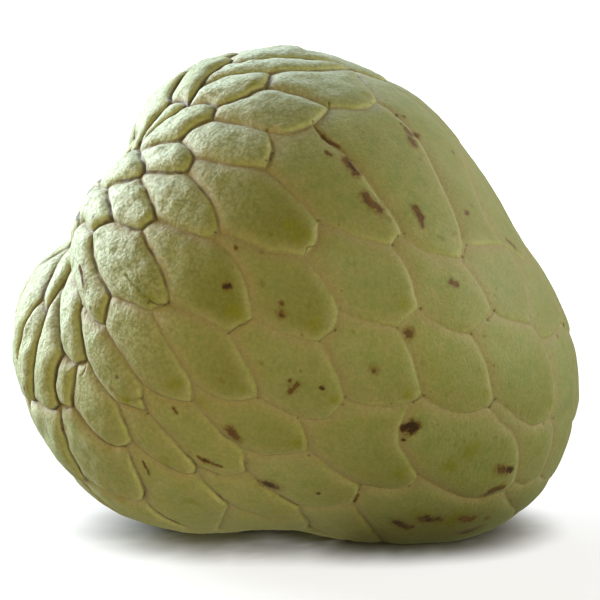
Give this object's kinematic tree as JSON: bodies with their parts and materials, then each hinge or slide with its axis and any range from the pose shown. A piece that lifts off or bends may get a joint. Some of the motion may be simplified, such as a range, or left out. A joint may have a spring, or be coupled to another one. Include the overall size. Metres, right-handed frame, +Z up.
{
  "type": "cherimoya",
  "caption": "A whole green cherimoya lying on its side, with a heart-shaped body, a sunken stem end and a skin of fused, overlapping scales.",
  "frame": {"origin": "on the plane the fruit rests on, under the middle of the fruit's bounding box", "axes": "+X along the fruit's long direction, from the stem end to the blossom end; +Y level, away from the side with the largest scales; +Z up from the resting plane"},
  "size_m": [0.1156, 0.1032, 0.0983],
  "materials": {
    "fruit_skin": "matt, finely pitted green fruit skin with a thin pale bloom"
  },
  "bodies": {
    "root": {"cherimoya": "fruit_skin"}
  },
  "joints": []
}
